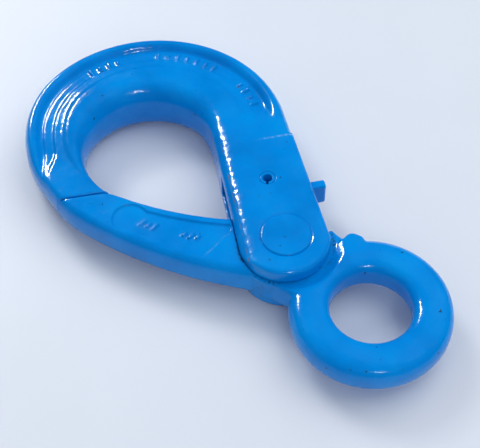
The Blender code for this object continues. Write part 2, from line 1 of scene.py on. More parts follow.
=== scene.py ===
"""Looks of the self-locking eye hook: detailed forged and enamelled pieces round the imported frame.

Each piece is drawn on the mid-plane round the load pin, in metres, and carried to its place by the
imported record's joint positions. Solids are built with Booleans, then remeshed and smoothed, which
gives the rounded edges that thick enamel leaves on a forging.
"""

import json
from math import acos, atan2, cos, hypot, pi, radians, sin, sqrt

import bmesh
import bpy
from mathutils import Matrix, Vector

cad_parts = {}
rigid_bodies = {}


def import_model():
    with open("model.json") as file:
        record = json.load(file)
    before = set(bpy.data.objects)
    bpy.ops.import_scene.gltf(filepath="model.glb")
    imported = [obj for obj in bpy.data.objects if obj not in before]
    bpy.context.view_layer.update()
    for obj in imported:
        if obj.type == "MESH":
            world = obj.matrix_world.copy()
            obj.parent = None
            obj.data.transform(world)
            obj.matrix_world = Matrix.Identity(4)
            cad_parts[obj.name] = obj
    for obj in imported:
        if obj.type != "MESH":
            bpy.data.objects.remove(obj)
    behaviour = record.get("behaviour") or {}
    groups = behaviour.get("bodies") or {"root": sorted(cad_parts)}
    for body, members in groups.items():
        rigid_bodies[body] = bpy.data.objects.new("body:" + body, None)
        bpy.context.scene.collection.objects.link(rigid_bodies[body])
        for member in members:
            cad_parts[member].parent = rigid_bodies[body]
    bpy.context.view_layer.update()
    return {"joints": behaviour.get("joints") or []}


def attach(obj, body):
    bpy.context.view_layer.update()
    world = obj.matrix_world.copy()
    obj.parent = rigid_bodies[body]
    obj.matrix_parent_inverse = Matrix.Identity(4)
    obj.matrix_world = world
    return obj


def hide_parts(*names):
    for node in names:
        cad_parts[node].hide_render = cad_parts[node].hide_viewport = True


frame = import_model()

MM = 0.001

# ---------------------------------------------------------------- camera
# Seen from the eye's side, 53 degrees above the table.

CAMERA_AZIMUTH, CAMERA_ELEVATION, CAMERA_ROLL = radians(42.16), radians(53.01), radians(1.04)
CAMERA_DISTANCE, CAMERA_LENS = 571 * MM, 82.5

JOINTS = {joint["name"]: joint for joint in frame["joints"]}
LOAD_PIN = Vector(JOINTS["latch_swing"]["pos_m"])
TRIGGER_PIN = Vector(JOINTS["trigger_press"]["pos_m"])
LATCH_TRAVEL = radians(JOINTS["latch_swing"]["range_deg"][1])


def add_camera():
    target = LOAD_PIN + Vector((-29.9, -0.9, -1.0)) * MM
    back = Vector(
        (
            sin(CAMERA_AZIMUTH) * cos(CAMERA_ELEVATION),
            -cos(CAMERA_AZIMUTH) * cos(CAMERA_ELEVATION),
            sin(CAMERA_ELEVATION),
        )
    )
    data = bpy.data.cameras.new("camera")
    data.lens = CAMERA_LENS
    data.clip_start = 0.01
    camera = bpy.data.objects.new("camera", data)
    upright = back.to_track_quat("Z", "Y").to_matrix().to_4x4()
    tilt = Matrix.Rotation(-CAMERA_ROLL, 4, "Z")
    camera.matrix_world = Matrix.Translation(target + back * CAMERA_DISTANCE) @ upright @ tilt
    bpy.context.scene.collection.objects.link(camera)
    bpy.context.scene.camera = camera


add_camera()

# ---------------------------------------------------------------- sizes
# Hook bowl: inner circle, then the outer outline as two arcs, measured from the load pin

BOWL_X, BOWL_RADIUS = -95.8 * MM, 34.7 * MM
BACK_ARC_X, BACK_ARC_Y, BACK_ARC_RADIUS = -97.5 * MM, 5.6 * MM, 73.4 * MM
TIP_ARC_RADIUS = 57.9 * MM
TIP_ARC_START, TIP_ARC_END = radians(187.5), radians(259.0)
BOWL_HALF_THICKNESS, TIP_HALF_THICKNESS = 16.0 * MM, 9.4 * MM
SEAM_INNER_ANGLE, SEAM_OUTER_ANGLE = radians(279.5), radians(258.2)
RIBS_START = radians(51.0)
LOBE_ROUNDING, LOBE_INSET = 11.0 * MM, 25.0 * MM
RIBS_FADE, LOBE_FADE = radians(15), radians(38)
TIP_LEAN_START, TIP_THIN_START = radians(190), radians(175)
TIP_PLAIN_START, TIP_PLAIN_FADE = radians(228), radians(40)
BAND_DROP = 2.95 * MM
BOWL_SECTIONS = 130

FORK_RADIUS, FORK_X, FORK_Y = 23.1 * MM, -0.5 * MM, -0.65 * MM
FORK_ANGLE = radians(143.13)
FORK_HALF_THICKNESS, FORK_END_ALONG = 15.4 * MM, 66.0 * MM
FRONT_ROUNDING, FRONT_DROP = 8.5 * MM, 6.5 * MM
SLOT_HALF, SLOT_END_ALONG = 7.2 * MM, 50.0 * MM

PIN_RADIUS, PIN_HEAD_RADIUS, PIN_HEAD_THICKNESS = 8.0 * MM, 12.8 * MM, 1.9 * MM
PIN_HEAD_ROUNDING = 0.9 * MM
HEAD_SEAT_DEPTH, HEAD_SEAT_MARGIN = 0.45 * MM, 0.9 * MM

EYE_X, EYE_Y, EYE_RING_RADIUS = 54.4 * MM, -0.4 * MM, 30.2 * MM
EYE_HALF_WIDTH, EYE_HALF_THICKNESS = 10.1 * MM, 9.4 * MM
HUB_RADIUS, HUB_HALF = 25.5 * MM, 6.9 * MM
NECK_START = (6.0 * MM, 23.6 * MM, 9.3 * MM)
NECK_END = (24.6 * MM, 22.3 * MM, 8.9 * MM)
SHOULDER_X, SHOULDER_Y, SHOULDER_RADIUS = 23.9 * MM, 23.9 * MM, 4.5 * MM
COVE_RADIUS = 30.5 * MM
ARM_HALF_THICKNESS = 9.2 * MM
ARM_INNER_ARC = (-142.4 * MM, 147.4 * MM, 189.1 * MM)
ARM_OUTER_ARC = (-119.7 * MM, 176.6 * MM, 235.5 * MM)
POCKET_DEPTH, POCKET_INNER_BORDER, POCKET_OUTER_BORDER = 1.3 * MM, 5.2 * MM, 4.6 * MM
POCKET_START_X, POCKET_END_X = -72.5 * MM, -25.5 * MM
RECESS_RADIUS, RECESS_START, RECESS_END = 21.8 * MM, radians(62.0), radians(133.5)

# Raised bars. Groups are (first, count, spacing): in degrees round the bowl, and in mm along the arm
BAND_GROUPS, BAND_INSET = ((67, 4, 4.8), (99, 7, 5.0), (150, 4, 5.0)), 14.6 * MM
POCKET_GROUPS = ((-63.0, 3, 3.2), (-42.0, 3, 3.2))
BAR_HALF_WIDTH, BAR_HALF_HEIGHT = 0.75, 1.4 * MM
BAR_HALF_LENGTHS = (2.4, 1.7)

TRIGGER_ALONG, TRIGGER_ACROSS = 37.7 * MM, -1.0 * MM
TRIGGER_HALF, TRIGGER_BOSS_RADIUS = 6.9 * MM, 8.0 * MM
TAB_NEAR, TAB_FAR, TAB_ACROSS = 32.2 * MM, 37.2 * MM, 29.6 * MM
SPRING_GROOVE_HALF, SPRING_GROOVE_RADIUS = 2.9 * MM, 9.5 * MM
ROLL_PIN_RADIUS, ROLL_PIN_WALL, ROLL_PIN_SLIT = 4.0 * MM, 1.5 * MM, 1.1 * MM
SPRING_WIRE, SPRING_RADIUS, SPRING_TURNS, SPRING_PITCH = 1.1 * MM, 5.4 * MM, 3, 1.3 * MM

GAP, SEAM_GAP = 0.3 * MM, 0.6 * MM
ROUND_SIDES = 96
VOXEL = 0.5 * MM
TRIGGER_VOXEL = 0.4 * MM

# ---------------------------------------------------------------- building helpers

helpers = bpy.data.collections.new("helpers")
bpy.context.scene.collection.children.link(helpers)


def add_mesh(name, bm):
    """The bmesh as an object, with its faces pointing out."""
    bmesh.ops.recalc_face_normals(bm, faces=bm.faces)
    mesh = bpy.data.meshes.new(name)
    bm.to_mesh(mesh)
    bm.free()
    obj = bpy.data.objects.new(name, mesh)
    helpers.objects.link(obj)
    return obj


def loft(name, rings, closed=False):
    """A skin over rings with equally many points: capped at both ends, or joined up in a loop."""
    bm = bmesh.new()
    loops = [[bm.verts.new(point) for point in ring] for ring in rings]
    count = len(rings[0])
    pairs = list(zip(loops, loops[1:]))
    if closed:
        pairs.append((loops[-1], loops[0]))
    for near, far in pairs:
        for i in range(count):
            j = (i + 1) % count
            bm.faces.new((near[i], near[j], far[j], far[i]))
    if not closed:
        bm.faces.new(reversed(loops[0]))
        bm.faces.new(loops[-1])
        bmesh.ops.triangulate(bm, faces=[f for f in bm.faces if len(f.verts) > 4])
    return add_mesh(name, bm)


def plate(name, outline, low, high, rounding=0.0):
    """A flat outline extruded from low to high, with its edges rounded."""
    curve = bpy.data.curves.new(name, "CURVE")
    curve.dimensions = "2D"
    curve.fill_mode = "BOTH"
    curve.extrude = (high - low) / 2 - rounding
    curve.bevel_depth = rounding
    curve.offset = -rounding
    curve.bevel_resolution = 4
    spline = curve.splines.new("POLY")
    spline.points.add(len(outline) - 1)
    for point, (x, y) in zip(spline.points, outline):
        point.co = (x, y, 0, 1)
    spline.use_cyclic_u = True
    flat = bpy.data.objects.new(name + "_outline", curve)
    helpers.objects.link(flat)
    bpy.context.view_layer.update()
    graph = bpy.context.evaluated_depsgraph_get()
    mesh = bpy.data.meshes.new_from_object(flat.evaluated_get(graph))
    mesh.transform(Matrix.Translation((0, 0, (low + high) / 2)))
    bpy.data.objects.remove(flat)
    bm = bmesh.new()
    bm.from_mesh(mesh)
    bpy.data.meshes.remove(mesh)
    bmesh.ops.remove_doubles(bm, verts=bm.verts, dist=1e-6)
    return add_mesh(name, bm)


def turned(name, profile, centre=(0, 0)):
    """A profile of (radius, height) turned about a vertical axis; its ends lie on the axis."""
    bm = bmesh.new()
    top = bm.verts.new((*centre, profile[0][1]))
    bottom = bm.verts.new((*centre, profile[-1][1]))
    loops = []
    for radius, height in profile[1:-1]:
        loop = []
        for i in range(ROUND_SIDES):
            turn = 2 * pi * i / ROUND_SIDES
            place = (centre[0] + radius * cos(turn), centre[1] + radius * sin(turn), height)
            loop.append(bm.verts.new(place))
        loops.append(loop)
    for i in range(ROUND_SIDES):
        j = (i + 1) % ROUND_SIDES
        bm.faces.new((top, loops[0][i], loops[0][j]))
        bm.faces.new((bottom, loops[-1][j], loops[-1][i]))
        for near, far in zip(loops, loops[1:]):
            bm.faces.new((near[i], far[i], far[j], near[j]))
    return add_mesh(name, bm)


def cylinder(name, radius, low, high, centre=(0, 0)):
    return turned(name, [(0, high), (radius, high), (radius, low), (0, low)], centre)


def block(name, centre, along, across, height):
    """A small upright box: centre at its middle, along and across as half-size vectors in plan."""
    corners = [centre + along + across, centre - along + across]
    corners += [centre - along - across, centre + along - across]
    low = [corner - Vector((0, 0, height)) for corner in corners]
    high = [corner + Vector((0, 0, height)) for corner in corners]
    return loft(name, [low, high])


def combine(target, tool, operation):
    change = target.modifiers.new(tool.name, "BOOLEAN")
    change.operation = operation
    change.object = tool
    change.solver = "EXACT"


def applied(obj):
    """The object's mesh with its modifiers applied."""
    graph = bpy.context.evaluated_depsgraph_get()
    mesh = bpy.data.meshes.new_from_object(obj.evaluated_get(graph))
    obj.modifiers.clear()
    obj.data = mesh
    return obj


def enamelled(obj, voxel=VOXEL, rounds=4, soft_zone=None):
    """Remesh and smooth, so that every edge takes the rounding of a thick coat. A soft zone gives
    each point a weight for further smoothing, where the forging's surfaces flow into each other."""
    applied(obj)
    remesh = obj.modifiers.new("remesh", "REMESH")
    remesh.mode = "VOXEL"
    remesh.voxel_size = voxel
    remesh.adaptivity = 0.0
    applied(obj)
    smooth = obj.modifiers.new("smooth", "SMOOTH")
    smooth.factor = 0.5
    smooth.iterations = rounds
    if soft_zone:
        group = obj.vertex_groups.new(name="soft_zone")
        for vertex in obj.data.vertices:
            weight = soft_zone(vertex.co)
            if weight > 0:
                group.add([vertex.index], weight, "REPLACE")
        blend = obj.modifiers.new("blend", "SMOOTH")
        blend.factor = 0.5
        blend.iterations = round(24 * (0.55 * MM / voxel) ** 2)
        blend.vertex_group = "soft_zone"
    applied(obj)
    obj.data.shade_smooth()
    return obj


def arc(centre, radius, start, end, steps):
    turn = [start + (end - start) * i / steps for i in range(steps + 1)]
    return [(centre[0] + radius * cos(a), centre[1] + radius * sin(a)) for a in turn]


def fork_point(along, across):
    """A point measured along the fork from the load pin, and across it towards the back."""
    c, s = cos(FORK_ANGLE), sin(FORK_ANGLE)
    return along * c + across * s, along * s - across * c


def smoothstep(value):
    value = min(max(value, 0.0), 1.0)
    return value * value * (3 - 2 * value)


# ---------------------------------------------------------------- outline of the hook


def back_line():
    """Straight back edge as (normal angle, offset): it touches the fork's end and the back arc."""
    dx, dy = BACK_ARC_X - FORK_X, BACK_ARC_Y - FORK_Y
    normal = atan2(dy, dx) - acos((FORK_RADIUS - BACK_ARC_RADIUS) / hypot(dx, dy))
    return normal, FORK_X * cos(normal) + FORK_Y * sin(normal) + FORK_RADIUS


def front_line():
    """Straight front edge, with the same normal side: it touches the fork's end and the bowl."""
    dx, dy = BOWL_X - FORK_X, -FORK_Y
    normal = atan2(dy, dx) - acos(-(FORK_RADIUS + BOWL_RADIUS) / hypot(dx, dy))
    return normal, FORK_X * cos(normal) + FORK_Y * sin(normal) - FORK_RADIUS


def tip_arc_centre():
    inward = BACK_ARC_RADIUS - TIP_ARC_RADIUS
    return (
        BACK_ARC_X + inward * cos(TIP_ARC_START),
        BACK_ARC_Y + inward * sin(TIP_ARC_START),
    )


def ray_to_line(angle, normal, offset):
    """How far a ray from the bowl's centre runs to a line."""
    return (offset - BOWL_X * cos(normal)) / cos(angle - normal)


def ray_to_circle(angle, centre, radius):
    dx, dy = centre[0] - BOWL_X, centre[1]
    along = dx * cos(angle) + dy * sin(angle)
    aside = dx * sin(angle) - dy * cos(angle)
    return along + sqrt(radius * radius - aside * aside)


def seen_from_bowl(centre, radius, angle):
    """Direction from the bowl's centre to a point of an arc, from 0 to 2 pi."""
    x = centre[0] + radius * cos(angle) - BOWL_X
    y = centre[1] + radius * sin(angle)
    return atan2(y, x) % (2 * pi)


def outer_reach(angle):
    """Distance from the bowl's centre to the outer outline."""
    back, tip = (BACK_ARC_X, BACK_ARC_Y), tip_arc_centre()
    normal, offset = back_line()
    if angle < seen_from_bowl(back, BACK_ARC_RADIUS, normal):
        return ray_to_line(angle, normal, offset)
    if angle < seen_from_bowl(back, BACK_ARC_RADIUS, TIP_ARC_START):
        return ray_to_circle(angle, back, BACK_ARC_RADIUS)
    if angle < seen_from_bowl(tip, TIP_ARC_RADIUS, TIP_ARC_END):
        return ray_to_circle(angle, tip, TIP_ARC_RADIUS)
    normal = TIP_ARC_END
    offset = tip[0] * cos(normal) + tip[1] * sin(normal) + TIP_ARC_RADIUS
    return ray_to_line(angle, normal, offset)


def bowl_point(angle, reach):
    return Vector((BOWL_X + reach * cos(angle), reach * sin(angle), 0))


def seam_normal():
    """Unit normal of the face where the latch meets the hook's tip, pointing at the latch."""
    inner = bowl_point(SEAM_INNER_ANGLE, BOWL_RADIUS)
    outer = bowl_point(SEAM_OUTER_ANGLE, outer_reach(SEAM_OUTER_ANGLE))
    run = (outer - inner).normalized()
    return Vector((-run.y, run.x, 0))


# ---------------------------------------------------------------- hook body


def mixed(first, second, share):
    """Points part of the way from one list to the other."""
    return [(a + share * (c - a), b + share * (d - b)) for (a, b), (c, d) in zip(first, second)]


def lobe_profile(width, crest):
    """The inner part of the bowl's section: rounded from the hole up to a nearly level crest."""
    points = []
    reach = min(LOBE_ROUNDING, width * 0.8)
    for step in range(12):
        turn = step * pi / 22
        points.append((reach * (1 - cos(turn) ** 0.9), (crest - 0.2 * MM) * sin(turn) ** 0.9))
    for step in range(1, 4):
        points.append((reach + (width - reach) * step / 3, crest - 0.1 * MM * step))
    return points


def flank_profile(width, crest):
    """The front half of the fork's section, with as many points as the lobe."""
    points = [(0.0, 0.0)]
    for step in range(11):
        turn = step * pi / 20
        points.append((FRONT_ROUNDING * (1 - cos(turn)), crest - FRONT_DROP * (1 - sin(turn))))
    for step in range(1, 4):
        points.append((FRONT_ROUNDING + (width - FRONT_ROUNDING) * step / 3, crest))
    return points


def ribbed_profile(width, crest, ribs=1.0, lobed=1.0):
    """Upper half of the bowl's section, inner edge to outer edge: lobe, band, groove, bead, and
    the outer wall with its parting line. With ribs and lobed at 0 it is the fork's flat section."""
    level = BOWL_HALF_THICKNESS - FORK_HALF_THICKNESS
    lobe = width - LOBE_INSET
    flank = flank_profile(lobe, crest - level)
    points = mixed(flank, lobe_profile(lobe, crest), lobed)
    shoulder_and_bead = [
        (23.9, 0.75),
        (22.4, 1.45),
        (21.0, 1.7),
        (18.7, 1.8),
        (17.6, 2.1),
        (16.9, 2.75),
        (16.2, 2.95),
        (13.0, 2.95),
        (11.8, 3.15),
        (10.2, 3.9),
        (9.0, 3.3),
        (7.6, 1.4),
        (6.2, 0.25),
        (4.8, 0.0),
        (3.3, 0.45),
        (2.0, 1.9),
        (1.0, 4.2),
    ]
    for inset, drop in shoulder_and_bead:
        if inset > 3.5:
            drop = level / MM + ribs * (drop - level / MM)
        points.append((width - inset * MM, crest - drop * MM))
    wall = ((0.4, 0.5), (0.45, 0.2), (0.35, 0.05), (0.0, 0.0))
    return points + [(width - inset * MM, crest * share) for inset, share in wall]


def plain_profile(width, crest, count):
    """Upper half of a bar with rounded edges, with count points."""
    points = []
    quarter = count // 2
    for step in range(quarter):
        turn = step * pi / 2 / (quarter - 1)
        points.append((5.0 * MM * (1 - cos(turn)), crest * sin(turn) ** 0.7))
    flat = count - 2 * quarter + 1
    for step in range(1, flat):
        points.append((width * 0.3 + (width * 0.4) * step / flat, crest))
    rest = count - len(points)
    for step in range(rest):
        turn = pi / 2 - step * pi / 2 / (rest - 1)
        points.append((width - 5.0 * MM * (1 - cos(turn)), crest * sin(turn) ** 0.7))
    return points


def full_section(inner, outer, upper):
    """A whole ring in the vertical plane through inner and outer, from the upper half of a profile."""
    across = (outer - inner).normalized()
    top = [inner + across * w + Vector((0, 0, h)) for w, h in upper]
    under = [inner + across * w - Vector((0, 0, h)) for w, h in reversed(upper[1:-1])]
    return top + under


def bowl_ring(inner_angle):
    """One section of the bowl. Towards the tip the ribs fade and the plane leans to meet the latch."""
    share = smoothstep((inner_angle - TIP_LEAN_START) / (SEAM_INNER_ANGLE - TIP_LEAN_START))
    outer_angle = inner_angle - share * (SEAM_INNER_ANGLE - SEAM_OUTER_ANGLE)
    inner = bowl_point(inner_angle, BOWL_RADIUS)
    outer = bowl_point(outer_angle, outer_reach(outer_angle))
    width = (outer - inner).length
    thin = smoothstep((inner_angle - TIP_THIN_START) / (SEAM_INNER_ANGLE - TIP_THIN_START))
    crest = BOWL_HALF_THICKNESS + thin * (TIP_HALF_THICKNESS - BOWL_HALF_THICKNESS)
    plain = smoothstep((inner_angle - TIP_PLAIN_START) / TIP_PLAIN_FADE)
    ribs = smoothstep((inner_angle - RIBS_START) / RIBS_FADE)
    lobed = smoothstep((inner_angle - RIBS_START) / LOBE_FADE)
    ribbed = ribbed_profile(width, crest, ribs, lobed)
    section = mixed(ribbed, plain_profile(width, crest, len(ribbed)), plain)
    return full_section(inner, outer, section)


def across_fork(along):
    """Front and back edge of the fork at a distance from the load pin."""
    foot = Vector((*fork_point(along, 0), 0))
    across = Vector((sin(FORK_ANGLE), -cos(FORK_ANGLE), 0))
    edges = []
    for normal, offset in (front_line(), back_line()):
        out = Vector((cos(normal), sin(normal), 0))
        edges.append(foot + across * (offset - foot.dot(out)) / across.dot(out))
    return edges


def root_ring(along, inset):
    """A section across the fork, where the bowl grows out of it; inset hides it inside the cheeks."""
    inner, outer = across_fork(along)
    across = (outer - inner).normalized() * inset
    inner, outer = inner + across, outer - across
    upper = ribbed_profile((outer - inner).length, BOWL_HALF_THICKNESS - inset, 0.0, 0.0)
    return full_section(inner, outer, upper)


def trimmed(ring, inset):
    """The same ring shrunk towards its middle, for a softened edge."""
    centre = sum(ring, Vector()) / len(ring)
    return [point + (centre - point).normalized() * inset for point in ring]


def hook_bowl():
    start = front_line()[0]
    rings = [root_ring(56 * MM, 2.5 * MM), root_ring(FORK_END_ALONG - 2.5 * MM, 1.0 * MM)]
    rings.append(root_ring(FORK_END_ALONG + 0.2 * MM, 0.15 * MM))
    for i in range(BOWL_SECTIONS + 1):
        rings.append(bowl_ring(start + (SEAM_INNER_ANGLE - start) * i / BOWL_SECTIONS))
    end = rings[-1]
    rings[-1] = [point - seam_normal() * 0.7 * MM for point in end]
    rings.append(trimmed(end, 0.6 * MM))
    return loft("hook_bowl", rings)


def fork_envelope():
    """Round end at the load pin with softened rims, and a wide block from there to the bowl."""
    half, soft = FORK_HALF_THICKNESS + 0.05 * MM, 2.6 * MM
    upper = [(0, half)]
    for step in range(8):
        turn = pi / 2 - step * pi / 14
        upper.append((FORK_RADIUS - soft * (1 - cos(turn)), half - soft * (1 - sin(turn))))
    profile = upper + [(r, -z) for r, z in reversed(upper)]
    end = turned("fork_end", profile, (FORK_X, FORK_Y))
    ends = ((0, -40), (0, 40), (FORK_END_ALONG / MM, 40), (FORK_END_ALONG / MM, -40))
    corners = [fork_point(along * MM, across * MM) for along, across in ends]
    combine(end, plate("fork_block", corners, -half - 2 * MM, half + 2 * MM), "UNION")
    return end


def cheek_profile(width, crest):
    """Upper half of the fork's section: a broad rounding at the front, a small one at the back."""
    points = [(0.0, 0.0)]
    for step in range(12):
        turn = step * pi / 22
        points.append((FRONT_ROUNDING * (1 - cos(turn)), crest - FRONT_DROP * (1 - sin(turn))))
    for inset, drop in ((3.2, 0.0), (2.2, 0.25), (1.3, 0.8), (0.8, 1.6), (0.4, 4.0)):
        points.append((width - inset * MM, crest - drop * MM))
    return points + [(width, 0.0)]


def cheek_bar():
    """A straight bar with the fork's section, longer than the fork at both ends."""
    rings = []
    for along in (-32 * MM, FORK_END_ALONG + 4 * MM):
        inner, outer = across_fork(along)
        inset = (outer - inner).normalized() * 0.05 * MM
        inner, outer = inner + inset, outer - inset
        profile = cheek_profile((outer - inner).length, FORK_HALF_THICKNESS)
        rings.append(full_section(inner, outer, profile))
    return loft("cheek_bar", rings)


def fork_slot():
    ends = ((-40, -40), (-40, 40), (SLOT_END_ALONG / MM, 40), (SLOT_END_ALONG / MM, -40))
    corners = [fork_point(along * MM, across * MM) for along, across in ends]
    return plate("fork_slot", corners, -SLOT_HALF, SLOT_HALF)


def raised_bars(body, name, spots, height):
    """Plain raised bars on both faces, where the forging carries its marks."""
    for i, (centre, out) in enumerate(spots):
        side = Vector((-out.y, out.x, 0))
        tall = BAR_HALF_LENGTHS[i % 2]
        for up in (1, -1):
            middle = centre + Vector((0, 0, up * height))
            across, along = side * BAR_HALF_WIDTH * MM, out * tall * MM
            bar = block(f"{name}_{i}_{up}", middle, across, along, BAR_HALF_HEIGHT)
            combine(body, bar, "UNION")


def band_spots():
    """Places of the bars along the band: three groups, as on the forging."""
    spots = []
    for first, count, spacing in BAND_GROUPS:
        for i in range(count):
            angle = radians(first + i * spacing)
            centre = bowl_point(angle, outer_reach(angle) - BAND_INSET)
            spots.append((centre, Vector((cos(angle), sin(angle), 0))))
    return spots


def make_hook_body():
    body = hook_bowl()
    cheeks = cheek_bar()
    combine(cheeks, fork_envelope(), "INTERSECT")
    combine(body, cheeks, "UNION")
    raised_bars(body, "band_bar", band_spots(), BOWL_HALF_THICKNESS - BAND_DROP)
    combine(body, fork_slot(), "DIFFERENCE")
    reach = BOWL_HALF_THICKNESS + 2 * MM
    trigger_axis = fork_point(TRIGGER_ALONG, TRIGGER_ACROSS)
    under_head = FORK_HALF_THICKNESS - 2 * MM
    combine(body, cylinder("load_pin_bore", PIN_RADIUS + GAP, -under_head, under_head), "DIFFERENCE")
    bore = cylinder("trigger_pin_bore", ROLL_PIN_RADIUS, -reach, reach, trigger_axis)
    combine(body, bore, "DIFFERENCE")
    seat = FORK_HALF_THICKNESS - HEAD_SEAT_DEPTH
    moat = PIN_HEAD_RADIUS + HEAD_SEAT_MARGIN
    combine(body, cylinder("upper_head_seat", moat, seat, reach), "DIFFERENCE")
    combine(body, cylinder("lower_head_seat", moat, -reach, -seat), "DIFFERENCE")
    return enamelled(body)


# ---------------------------------------------------------------- eye, hub and latch arm


def bulge(value, power):
    """Sine or cosine pushed outwards, which squares a circle off slightly."""
    return (abs(value) ** power) * (1 if value >= 0 else -1)


def eye_ring():
    rings = []
    for i in range(120):
        turn = 2 * pi * i / 120
        ring = []
        for k in range(36):
            a = 2 * pi * k / 36
            power = 0.64 if cos(a) < 0 else 0.8
            reach = EYE_RING_RADIUS + EYE_HALF_WIDTH * bulge(cos(a), power)
            height = EYE_HALF_THICKNESS * bulge(sin(a), power)
            ring.append((EYE_X + reach * cos(turn), EYE_Y + reach * sin(turn), height))
        rings.append(ring)
    return loft("eye_latch_forging", rings, closed=True)


def arm_edge(curve, x):
    """Point of one of the arm's long edges at x."""
    centre_x, centre_y, radius = curve
    return Vector((x, centre_y - sqrt(radius**2 - (x - centre_x) ** 2), 0))


def arm_profile(width, crest):
    """Upper half of the arm's section: a drafted outer wall with a crease below the top edge."""
    points = [(0.0, 0.0)]
    for inset, share in ((0.1, 0.5), (0.5, 0.72), (1.2, 0.86), (2.2, 0.94), (3.3, 0.98), (4.6, 1.0)):
        points.append((inset * MM, crest * share))
    outer = ((5.2, 1.0), (4.2, 0.985), (3.0, 0.93), (1.9, 0.83), (1.0, 0.7), (0.3, 0.5), (0.0, 0.0))
    points += [(width - inset * MM, crest * share) for inset, share in outer]
    return points


def latch_arm():
    """From the seam at the hook's tip to inside the hub."""
    gap = seam_normal() * SEAM_GAP
    tip_inner = bowl_point(SEAM_INNER_ANGLE, BOWL_RADIUS) + gap
    tip_outer = bowl_point(SEAM_OUTER_ANGLE, outer_reach(SEAM_OUTER_ANGLE)) + gap
    inner_end, outer_end = -17 * MM, 1 * MM
    inner_start = arm_edge(ARM_INNER_ARC, tip_inner.x)
    outer_start = arm_edge(ARM_OUTER_ARC, tip_outer.x)
    rings = []
    count = 60
    for i in range(count + 1):
        share = i / count
        tuck = max(0.0, 1 - share / 0.14) ** 2
        inner = arm_edge(ARM_INNER_ARC, tip_inner.x + share * (inner_end - tip_inner.x))
        outer = arm_edge(ARM_OUTER_ARC, tip_outer.x + share * (outer_end - tip_outer.x))
        inner += (tip_inner - inner_start) * tuck
        outer += (tip_outer - outer_start) * tuck
        profile = arm_profile((outer - inner).length, ARM_HALF_THICKNESS)
        rings.append(full_section(inner, outer, profile))
    first = rings[0]
    rings[0] = trimmed(first, 0.7 * MM)
    rings.insert(1, [point + seam_normal() * 0.8 * MM for point in first])
    return loft("latch_arm", rings)


def neck():
    """Joins the hub to the eye."""
    rings = []
    for x, half_width, height in (NECK_START, NECK_END):
        inner, outer = Vector((x, half_width, 0)), Vector((x, -half_width, 0))
        rings.append(full_section(inner, outer, plain_profile(2 * half_width, height, 30)))
    return loft("neck", rings)


def shoulder():
    """The lug beside the eye, fairing into the ring. It clears the fork's back edge at full travel."""
    height, radius = EYE_HALF_THICKNESS - 0.5 * MM, SHOULDER_RADIUS
    outline = arc((SHOULDER_X, SHOULDER_Y), radius, radians(195), radians(105), 10)
    outline += [(27.0 * MM, 29.2 * MM), (32.0 * MM, 25.0 * MM), (27.0 * MM, 16.0 * MM)]
    outline.append((SHOULDER_X - radius + 0.2 * MM, 16.0 * MM))
    return plate("shoulder", outline, -height, height, 2.2 * MM)


def blend_zone(point):
    """Weight 1 where hub, neck, shoulder and ring meet, and a lighter weight round the pocket."""
    root = smoothstep((point.x - 14 * MM) / (6 * MM)) * smoothstep((40 * MM - point.x) / (10 * MM))
    in_pocket = -80 * MM < point.x < -19 * MM and abs(point.z) > ARM_HALF_THICKNESS - 2.4 * MM
    return max(root, 0.12 if in_pocket else 0.0)


def pocket_spots():
    """Places of the bars in the pocket: two groups between its long sides."""
    spots = []
    for first, count, spacing in POCKET_GROUPS:
        for i in range(count):
            x = (first + i * spacing) * MM
            inner, outer = arm_edge(ARM_INNER_ARC, x), arm_edge(ARM_OUTER_ARC, x)
            spots.append(((inner + outer) / 2, (inner - outer).normalized()))
    return spots


def cheek_clearance(side):
    """Cutter that thins the hub between the cheeks, with a cove rising to the eye."""
    top, clear, floor = 25 * MM, FORK_RADIUS + 2 * GAP, HUB_HALF - 0.1 * MM
    rise = EYE_HALF_THICKNESS + 0.4 * MM - floor
    cove = []
    for step in range(15):
        turn = step * pi / 28
        radius = COVE_RADIUS - (COVE_RADIUS - clear) * sin(turn)
        cove.append((radius, floor + rise * (1 - sin(turn)) ** 1.4))
    profile = [(0, top), (COVE_RADIUS, top)] + cove + [(0, floor)]
    if side < 0:
        profile = [(r, -z) for r, z in reversed(profile)]
    return turned("cove_above" if side > 0 else "cove_below", profile)


def open_clearance(side):
    """Cutter where the fork's back edge stands, as the eye sees it, with the latch fully open."""
    normal, offset = back_line()
    normal -= LATCH_TRAVEL
    out, run = Vector((cos(normal), sin(normal), 0)), Vector((-sin(normal), cos(normal), 0))
    touch = out * (offset + GAP)
    corners = [touch, touch + run * 60 * MM, (run * 60 - out * 20) * MM, out * -20 * MM]
    outline = [(corner.x, corner.y) for corner in corners]
    floor = HUB_HALF - 0.05 * MM
    low, high = (floor, 25 * MM) if side > 0 else (-25 * MM, -floor)
    return plate("open_room_above" if side > 0 else "open_room_below", outline, low, high)


def fork_clearance(side):
    """Cutter with the fork's round end and front edge, for the arm's root above or below the hub."""
    normal, offset = front_line()
    out = Vector((cos(normal), sin(normal)))
    run = Vector((-sin(normal), cos(normal)))
    touch = Vector((FORK_X, FORK_Y)) - out * (FORK_RADIUS + GAP)
    end = arc((FORK_X, FORK_Y), FORK_RADIUS + GAP, normal - pi, normal, 60)
    corners = [touch + run * 60 * MM + out * 90 * MM, touch + run * 60 * MM]
    outline = [(corner.x, corner.y) for corner in corners] + end
    floor = HUB_HALF - 0.15 * MM
    low, high = (floor, 25 * MM) if side > 0 else (-25 * MM, -floor)
    return plate("fork_room_above" if side > 0 else "fork_room_below", outline, low, high)


